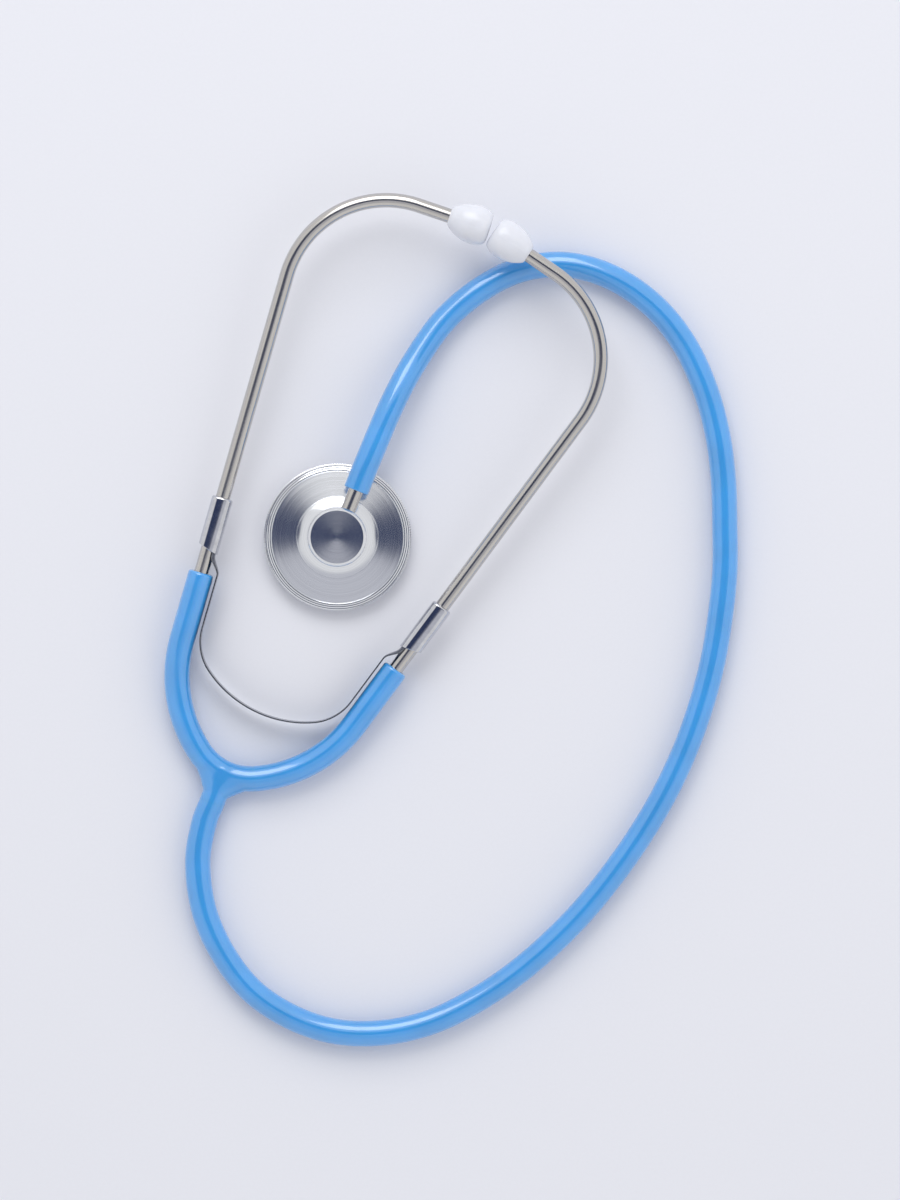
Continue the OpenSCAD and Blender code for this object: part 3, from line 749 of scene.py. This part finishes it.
class MakeYoke(bpy.types.Operator):
    """Mould the middle of the Y tube in one piece, with soft webs in its crotches"""
    bl_idname = "stethoscope.yoke"
    bl_label = "Yoke"

    def execute(self, context):
        soft = sizes("hose")
        head = Headset()
        radius = soft.diameter / 2
        # Spare length, which the cuts take off, and spare thickness, which the skin settles from
        spare, thicker = 3 * MM, 1.05
        half = [np.zeros(2)] + arc_points(np.zeros(2), soft.root_radius, math.pi / 2,
                                          head.root_heading, 16)
        half.append(head.root_end + spare * along(head.root_heading))
        root = [head.world(p, -1) for p in half[:0:-1]] + [head.world(p) for p in half]
        leg = [leg_point(0.3 * MM), leg_point(soft.leg / 2), leg_point(soft.leg + spare)]
        tubes = [swept(name, line, radius * thicker, 40)
                 for name, line in (("yoke_body", root), ("yoke_leg", leg))]
        for tube in tubes:
            with editing(tube):
                bpy.ops.mesh.fill_holes(sides=0)
                merge()
        take(tubes[0])
        tubes[1].select_set(True)
        bpy.ops.object.join()
        yoke = context.object
        cuts = [(head.world(head.root_end, side), head.direction(head.root_heading, side))
                for side in (-1, 1)]
        cuts.append((leg_point(soft.leg), (leg_point(1) - leg_point(0)).normalized()))
        # Twice: the second skin spreads its faces evenly over the webs that the first one got
        for _ in range(2):
            apply_modifier(yoke, "REMESH", mode="VOXEL", voxel_size=0.36 * MM)
            self.settle(yoke, root, leg, cuts, radius, soft.web, head)
        with editing(yoke):
            for at, outwards in cuts:
                bpy.ops.mesh.select_all(action="SELECT")
                bpy.ops.mesh.bisect(plane_co=at, plane_no=outwards, use_fill=True,
                                    clear_outer=True, threshold=0.001 * MM)
            merge(0.01 * MM)
        straighten(yoke, root)
        hand_over(yoke, "vinyl", "yoke", "root", 40)
        return {"FINISHED"}

    def settle(self, yoke, root, leg, seams, radius, web, head):
        """Draw the skin onto the tubes, with a soft web where two of them come close."""
        points = positions(yoke)
        centre = np.array(YOKE)
        up = np.array(head.plane.to_3x3().col[2])
        down = np.array((leg[-1] - leg[0]).normalized())
        # How far before the Y's root its web begins, over what length it grows, and over what
        # length it fades out before an arm or the hose begins
        before, growing, fading = 4 * MM, 8 * MM, 4.5 * MM

        def off_line(p, line, normal):
            """Distance from a line within its plane, and height off that plane."""
            height = (p - centre) @ normal
            flat = p - height[:, None] * normal
            best = np.full(len(p), np.inf)
            line = np.array(line)
            for a, b in zip(line, line[1:]):
                run = b - a
                t = np.clip(((flat - a) @ run) / (run @ run), 0, 1)
                best = np.minimum(best, np.linalg.norm(flat - a - t[:, None] * run, axis=1))
            return best, height

        def eased(share):
            share = np.clip(share, 0, 1)
            return share * share * (3 - 2 * share)

        def skin(p):
            to_root, over_root = off_line(p, root, up)
            to_leg, over_leg = off_line(p, leg, np.array((0, 0, 1)))
            reach = web * eased(((p - centre) @ down + before) / growing)
            for at, outwards in seams:
                reach = reach * eased(((np.array(at) - p) @ np.array(outwards)) / fading)
            reach = np.maximum(reach, 0.001 * MM)
            share = np.clip(0.5 + 0.5 * (to_leg - to_root) / reach, 0, 1)
            across = to_leg + (to_root - to_leg) * share - reach * share * (1 - share)
            height = over_leg + (over_root - over_leg) * share
            return np.hypot(np.maximum(across, 0), height) - radius

        small = 0.02 * MM
        for _ in range(8):
            slope = np.stack([(skin(points + small * axis) - skin(points - small * axis))
                              / (2 * small) for axis in np.eye(3)], axis=1)
            steepness = np.maximum((slope ** 2).sum(axis=1), 0.25)
            points -= (skin(points) / steepness)[:, None] * slope
        yoke.data.vertices.foreach_set("co", points.ravel())
        yoke.data.update()


class MakeArms(bpy.types.Operator):
    """Sweep the two soft arms, with a rounded lip round each ear tube"""
    bl_idname = "stethoscope.arms"
    bl_label = "Arms"

    def execute(self, context):
        soft, metal_sizes = sizes("hose"), sizes("headset")
        head = Headset()
        radius = soft.diameter / 2
        bore, bore_depth = metal_sizes.tube / 2 + 2 * FIT, soft.arm_grip - 1 * MM
        run = soft.arm_straight - soft.arm_edge
        flat = [head.root_end] + arc_points(head.root_end, soft.arm_radius, head.root_heading,
                                            head.splay, 40)
        flat += straight_points(flat[-1], run * along(head.splay), 16)
        for side, name in SIDES:
            path = [head.world(p, side) for p in flat]
            arm = swept(name + "_arm_tube", path, radius, 48)
            square_end(arm, path[0], head.direction(head.root_heading, side), radius)
            finish_end(arm, path[0], radius)
            finish_end(arm, path[-1], radius, edge=soft.arm_edge, steps=5, bore=bore,
                       depth=bore_depth, outwards=head.direction(head.splay, side))
            straighten(arm, path)
            hand_over(arm, "vinyl", name + "_arm", sharp=40)
            head.world(head.root_end, side)
            head.world(head.arm_bend_end, side)
            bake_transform(arm)
        return {"FINISHED"}


class MakeSpring(bpy.types.Operator):
    """Bend the strip of spring steel between the arms, and roll its ends round the tubes"""
    bl_idname = "stethoscope.spring"
    bl_label = "Leaf spring"

    def execute(self, context):
        strip_sizes = sizes("headset")
        head = Headset()
        rows = 8
        roll = strip_sizes.tube / 2 + FIT + strip_sizes.spring / 2
        places = self.half(head)
        for side, name in SIDES:
            select_nothing()
            bpy.ops.mesh.primitive_grid_add(x_subdivisions=len(places) - 1, y_subdivisions=rows,
                                            size=MM, location=(0, 0, 0))
            strip = context.object
            strip.name = strip.data.name = name + "_spring_half"
            points = []
            for row in range(rows + 1):
                across = strip_sizes.spring_width * (row / rows - 0.5)
                turn = across / roll
                for point, heading, rolled in places:
                    rise = across + rolled * (roll * math.sin(turn) - across)
                    spot = point - rolled * roll * (1 - math.cos(turn)) * inward(heading)
                    points.extend(head.plane @ Vector((side * spot[0], spot[1], rise)))
            strip.data.vertices.foreach_set("co", points)
            strip.data.update()
            with editing(strip):
                bpy.ops.mesh.normals_make_consistent(inside=False)
            apply_modifier(strip, "SOLIDIFY", thickness=strip_sizes.spring, offset=0,
                           use_even_offset=True)
            # The halves meet in the middle with no edge there
            middle = head.world(places[0][0], side)
            across = head.direction(math.pi / 2)
            with editing(strip, everything=False):
                bpy.ops.mesh.select_mode(type="FACE")
            for face in strip.data.polygons:
                face.select = abs((face.center - middle).dot(across)) < 0.01 * MM
            bpy.ops.object.mode_set(mode="EDIT")
            bpy.ops.mesh.delete(type="FACE")
            bpy.ops.object.mode_set(mode="OBJECT")
            apply_modifier(strip, "BEVEL", width=0.07 * MM, segments=2, limit_method="ANGLE",
                           angle_limit=math.radians(60))
            finish_end(strip, middle, strip_sizes.spring_width)
            straighten(strip, [head.world(point, side) for point, _, _ in places])
            hand_over(strip, "steel", "leaf_spring")
            head.world(head.arm_end, side)
            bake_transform(strip)
        return {"FINISHED"}

    def half(self, head):
        """Middle line of the right half as (point, heading, how far rolled), middle to end."""
        soft, metal_sizes = sizes("hose"), sizes("headset")
        right = math.pi / 2
        up, across = along(head.splay), inward(head.splay)
        # Off the middle line of the arm and of the ear tube, and what the strip leaves free
        out = soft.diameter / 2 + metal_sizes.arm_gap + metal_sizes.spring / 2
        near = metal_sizes.tube / 2 + FIT + metal_sizes.spring / 2
        past_arm, collar_foot, collar_end = 0.5 * MM, 2 * MM, 0.5 * MM
        wide, tight = metal_sizes.spring_radius, metal_sizes.shoulder_radius
        low = np.array((0, metal_sizes.spring_root))
        reach = (low + np.array((0, wide)) - head.arm_bend_end - out * across) @ across
        heading = right - math.asin((reach - tight) / (wide - tight)) + head.splay
        line = [(low, right, 0)]
        for radius, entry, leave, steps in ((wide, right, heading, 24),
                                            (tight, heading, head.splay, 20)):
            first = line[-1][0]
            for h in (entry + (leave - entry) * i / steps for i in range(1, steps + 1)):
                line.append((bend_point(first, radius, entry, h), h, 0))
        first, start = line[-1][0], head.arm_end + past_arm * up + out * across
        line += [(p, head.splay, 0) for p in straight_points(first, start - first, 10)]
        jog = metal_sizes.collar_from - collar_foot
        for t in (i / 14 for i in range(1, 15)):
            ease = t * t * (3 - 2 * t)
            line.append((start + jog * t * up - (out - near) * ease * across, head.splay, ease))
        last, gutter = line[-1][0], metal_sizes.collar - collar_end
        line += [(p, head.splay, 1) for p in straight_points(last, gutter * up, 6)]
        return line


class MakeCollars(bpy.types.Operator):
    """Turn the two chromed collars, with rolled lips, round the ear tubes"""
    bl_idname = "stethoscope.collars"
    bl_label = "Collars"

    def execute(self, context):
        collar_sizes = sizes("headset")
        head = Headset()
        tube = collar_sizes.tube / 2 + FIT
        bore = tube + collar_sizes.spring + FIT
        outer = bore + collar_sizes.collar_wall
        long = collar_sizes.collar
        lip, bevel = 0.42 * MM, 0.35 * MM
        # The power of a rounded square's outline, and the slant of the lower end
        power, slant = 2.75, 0.35
        outline = rounded([
            (bore, 0, 0.15 * MM), (outer, 0, 0.2 * MM), (outer, long - lip, 0.3 * MM),
            (outer - bevel, long, 0.3 * MM), (tube, long, 0.15 * MM),
            (tube, long - 2 * lip, 0.1 * MM), (bore, long - 2 * lip, 0)])
        for side, name in SIDES:
            collar = turned(name + "_collar_sleeve", outline, 96)
            for vertex in collar.data.vertices:
                x, y, z = vertex.co
                # Pressed a little square round the strip and the tube, so its top is flatter
                far = math.hypot(x, y)
                square = (abs(x / far) ** power + abs(y / far) ** power) ** (-1 / power)
                grow = 1 + (square - 1) * (far - tube) / (outer - tube)
                vertex.co.x, vertex.co.y = x * grow, y * grow
                # The lower end is cut aslant, longer on the side that the spring leaves by
                vertex.co.z += side * slant * max(0, 1 - z / (0.5 * long)) * y
            place(collar, head.facing(head.arm_end + collar_sizes.collar_from * along(head.splay),
                                      head.splay, side))
            hand_over(collar, "chrome", name + "_collar", name + "_binaural")
        return {"FINISHED"}


class MakeEarTubes(bpy.types.Operator):
    """Bend the two plated ear tubes and give them their wall"""
    bl_idname = "stethoscope.ear_tubes"
    bl_label = "Ear tubes"

    def execute(self, context):
        tube_sizes = sizes("headset")
        head = Headset()
        foot = head.arm_end - sizes("hose").arm_grip * along(head.splay)
        end = head.tip_start + tube_sizes.tip_grip * along(head.tip_heading)
        flat = [foot] + straight_points(foot, head.bend_start - foot, 12)
        flat += arc_points(head.bend_start, tube_sizes.bend_radius, head.splay,
                           head.tip_heading, 62)
        flat += straight_points(head.bend_end, end - head.bend_end, 4)
        for side, name in SIDES:
            path = [head.world(p, side) for p in flat]
            tube = swept(name + "_ear_tube_pipe", path, tube_sizes.tube / 2, 48)
            apply_modifier(tube, "SOLIDIFY", thickness=tube_sizes.wall, offset=-1)
            straighten(tube, path)
            hand_over(tube, "nickel", name + "_ear_tube", name + "_tube")
        return {"FINISHED"}


class MakeEarTips(bpy.types.Operator):
    """Turn the two white ear tips, with sound hole, socket and a faint parting line"""
    bl_idname = "stethoscope.ear_tips"
    bl_label = "Ear tips"

    def execute(self, context):
        tip_sizes = sizes("headset")
        head = Headset()
        hole, socket = tip_sizes.tip_hole / 2, tip_sizes.tube / 2 + FIT
        entry, nose, long = tip_sizes.tip_entry / 2, tip_sizes.tip_nose / 2, tip_sizes.tip
        bottom = tip_sizes.tip_grip + FIT
        edge, flat, chamfer, nip = 0.25 * MM, 0.6 * MM, 0.1 * MM, 0.07 * MM
        swell = [tuple(p) for p in smooth_line(tip_outline(tip_sizes), 5)
                 if p[1] > 0.2 * MM and p[0] > nose]
        outline = ([(socket, chamfer), (socket + chamfer, 0), (entry - edge, 0),
                    (entry - nip, 0.08 * MM)] + swell
                   + [(nose - flat, long + 0.02 * MM), (hole + edge, long),
                      (hole + nip, long - nip), (hole, long - edge), (hole, bottom),
                      (socket, bottom), (socket, chamfer)])
        left = turned("left_ear_tip_bulb", outline, 96)
        self.part(left)
        tips = (left, copied(left, "right_ear_tip_bulb"))
        for (side, name), tip in zip(SIDES, tips):
            place(tip, head.facing(head.tip_start, head.tip_heading, side))
            hand_over(tip, "tip", name + "_ear_tip", name + "_tip", 40)
        return {"FINISHED"}

    def part(self, tip):
        """Raise the parting line along two sides of the bulb."""
        line_height, inside = 0.04 * MM, 2.6 * MM
        for vertex in tip.data.vertices:
            x, y = vertex.co.xy
            if abs(y) < 0.01 * MM and math.hypot(x, y) > inside:
                vertex.co.x += math.copysign(line_height, x)


class MakeChestpiece(bpy.types.Operator):
    """Turn the back of the chestpiece, its knurled ring, diaphragm and stem, and dress the gasket
    """
    bl_idname = "stethoscope.chestpiece"
    bl_label = "Chestpiece"

    def execute(self, context):
        self.back()
        self.ring()
        self.film()
        self.stem()
        dress(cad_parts["gasket"], "rubber")
        return {"FINISHED"}

    def back(self):
        """The back: bright land, shallow dish with turned steps, flared hub, chamber and hole."""
        chest = sizes("chest")
        thread = chest.ring / 2 - chest.knurl - 1.7 * MM
        base, top = 1.6 * MM, chest.ring_height + 0.3 * MM
        # The dish, from inside the land down to the flare's foot, with the facing tool's steps
        hub = chest.hub / 2
        foot, foot_top = hub + 3.6 * MM, top + 0.9 * MM
        dish, dish_low = thread - 0.62 * MM, top - 0.3 * MM
        steps = []
        for share in (0.2, 0.55):
            r = dish + (foot - dish) * share
            z = dish_low + (foot_top - dish_low) * share
            steps += [(r + 0.05 * MM, z - 0.005 * MM), (r, z + 0.015 * MM)]
        # A thin groove at the flare's foot, and the flare up to the neck
        groove, low = 0.08 * MM, foot_top - 0.03 * MM
        steep, flat = math.radians(36), math.radians(10)
        sweep = 3.45 * MM / (math.sin(steep) - math.sin(flat))
        flare = [(foot + groove, foot_top), (foot, low), (foot - groove, low)]
        flare += [(foot - 0.15 * MM - sweep * (math.sin(t) - math.sin(flat)),
                   foot_top + sweep * (math.cos(flat) - math.cos(t)))
                  for t in (flat + (steep - flat) * i / 20 for i in range(21))]
        # The hub's bevel, and its end, faced 4.5 degrees out of flat
        high, bevel, crown = chest.hub_top, 1 * MM, 0.65 * MM
        inner = hub - bevel
        end = [(hub, high - 0.86 * bevel), (hub - 0.04 * MM, high - 0.8 * bevel),
               (inner + 0.06 * MM, high - 0.04 * MM), (inner, high)]
        end += [(inner * share, high + crown * (1 - share))
                for share in (0.98, 0.75, 0.5, 0.25, 0.05)] + [(0, high + crown * 0.95)]
        # The belled chamber over the diaphragm, and the sound hole up to the stem
        chamber, deep, hole = 19 * MM, 2 * MM, 1.8 * MM
        bell = [(chamber - (chamber - hole) * math.sin(t), base + deep * (1 - math.cos(t)))
                for t in (math.pi / 2 * i / 10 for i in range(10, -1, -1))]
        chamfer = 0.3 * MM
        land = [(thread - inwards * MM, top - down * MM) for inwards, down in (
            (0, 0.12), (0.02, 0.02), (0.04, 0), (0.2, 0), (0.22, 0.01), (0.58, 0.22), (0.6, 0.3))]
        outline = ([(0, chest.stem_height), (hole, chest.stem_height), (hole, base + deep)] + bell
                   + [(thread - chamfer, base), (thread, base + chamfer)] + land
                   + [(dish, dish_low)] + steps + flare + end)
        back = turned("chestpiece_back", outline, 192)
        place(back, Matrix.Translation(CHEST))
        hand_over(back, "aluminium", "chestpiece_body", "chestpiece", 25)

    def ring(self):
        """The screw ring, with a bevelled top and teeth round its middle."""
        chest = sizes("chest")
        core = chest.ring / 2 - chest.knurl
        high, lip = chest.ring_height, 18 * MM
        bore, seat = core - 1.65 * MM, FILM_LOW
        foot, head = 1 * MM, high - 0.75 * MM
        ramp = 0.15 * MM
        # The turned top, inwards and down: knurled bevel, flat, bevel, flat and land
        top = [(core - inwards * MM, high - down * MM, 0) for inwards, down in (
            (0.04, 0.7), (0.34, 0.44), (0.36, 0.43), (0.6, 0.43), (0.62, 0.42), (0.96, 0.16),
            (0.98, 0.15), (1.22, 0.15), (1.24, 0.14), (1.58, 0), (1.61, 0.02))]
        outline = rounded(
            [(lip, 0, 0.15 * MM), (core - 0.6 * MM, 0, 0.2 * MM),
             (core - 0.05 * MM, foot - 0.1 * MM, 0), (core, foot, 0), (core, foot + ramp, 0),
             (core, head - ramp, 0), (core, head, 0)] + top
            + [(bore, high - 0.1 * MM, 0), (bore, seat, 0), (lip + 0.2 * MM, seat, 0),
               (lip, seat - 0.2 * MM, 0)])
        ring = turned("knurled_ring", outline, 2 * chest.teeth)
        step = math.pi / chest.teeth
        for vertex in ring.data.vertices:
            x, y, z = vertex.co
            tooth = round(math.atan2(y, x) / step) % 2 == 0
            if tooth and math.hypot(x, y) > core - 0.01 * MM:
                lift = 1 + chest.knurl / core * (0.5 if z < foot + 0.01 * MM else 1)
                vertex.co.x, vertex.co.y = x * lift, y * lift
        place(ring, Matrix.Translation(CHEST))
        hand_over(ring, "knurled", "retaining_ring", "ring", 25)

    def film(self):
        """The diaphragm, with two pressed rings."""
        low, high, edge, out = FILM_LOW, FILM_LOW + 0.4 * MM, 0.1 * MM, 20.9 * MM
        rings = [((r + across) * MM, low + deep * MM) for r in (13.2, 15)
                 for across, deep in ((-0.35, 0), (-0.2, 0.14), (0.2, 0.14), (0.35, 0))]
        outline = ([(0, low)] + rings
                   + [(out - edge, low), (out, low + edge), (out, high - edge),
                      (out - edge, high), (0, high)])
        film = turned("diaphragm_film", outline, 128)
        place(film, Matrix.Translation(CHEST))
        hand_over(film, "film", "diaphragm", "diaphragm_carrier")

    def stem(self):
        """The stem: plated tube with grooves where the hose grips it."""
        chest = sizes("chest")
        # It starts inside the hub, at this distance from the chestpiece's axis
        inside = 3.6 * MM
        r, bore, long, seen = chest.stem / 2, 1.3 * MM, 26 * MM, 12 * MM
        plain, pitch, barb, groove = 13.75 * MM, 3.5 * MM, 2.6 * MM, 0.25 * MM
        edge, tip = 0.1 * MM, 0.3 * MM
        outline = [(bore, 0), (r - edge, 0), (r, edge), (r, seen)]
        for z in (plain + pitch * i for i in range(3)):
            outline += [(r, z), (r - groove, z), (r, z + barb)]
        outline += [(r, long - tip), (r - tip, long), (bore, long), (bore, 0)]
        stem = turned("stem_tube", outline, 72)
        start = stem_point(inside)
        place(stem, Matrix.Translation(start) @ Matrix.Rotation(-chest.stem_turn, 4, "Z")
              @ Matrix.Rotation(-math.pi / 2, 4, "X"))
        straighten(stem, [start, stem_point(inside + long)])
        hand_over(stem, "nickel", "stem", "chestpiece")


class StethoscopePanel(bpy.types.Panel):
    """Sizes, finishes and pieces of the toy stethoscope"""
    bl_idname = "VIEW3D_PT_stethoscope"
    bl_label = "Toy stethoscope"
    bl_space_type = "VIEW_3D"
    bl_region_type = "UI"
    bl_category = "Stethoscope"

    def draw(self, context):
        for operator in PIECES:
            self.layout.operator(operator.bl_idname)
        for group, kind in SIZE_GROUPS.items():
            box = self.layout.box()
            box.label(text=kind.__doc__)
            for key in kind.__annotations__:
                box.prop(sizes(group), key)


PIECES = (SetStage, MakeHose, MakeYoke, MakeArms, MakeSpring, MakeCollars, MakeEarTubes,
          MakeEarTips, MakeChestpiece)


def register():
    for group, kind in SIZE_GROUPS.items():
        bpy.utils.register_class(kind)
        setattr(bpy.types.Scene, "stethoscope_" + group, bpy.props.PointerProperty(type=kind))
    for kind in PIECES + (StethoscopePanel,):
        bpy.utils.register_class(kind)


def unregister():
    for kind in (StethoscopePanel,) + PIECES[::-1]:
        bpy.utils.unregister_class(kind)
    for group, kind in SIZE_GROUPS.items():
        delattr(bpy.types.Scene, "stethoscope_" + group)
        bpy.utils.unregister_class(kind)


def main():
    """Make every piece in order."""
    register()
    for operator in PIECES:
        group, name = operator.bl_idname.split(".")
        getattr(getattr(bpy.ops, group), name)()


if __name__ == "__main__":
    main()
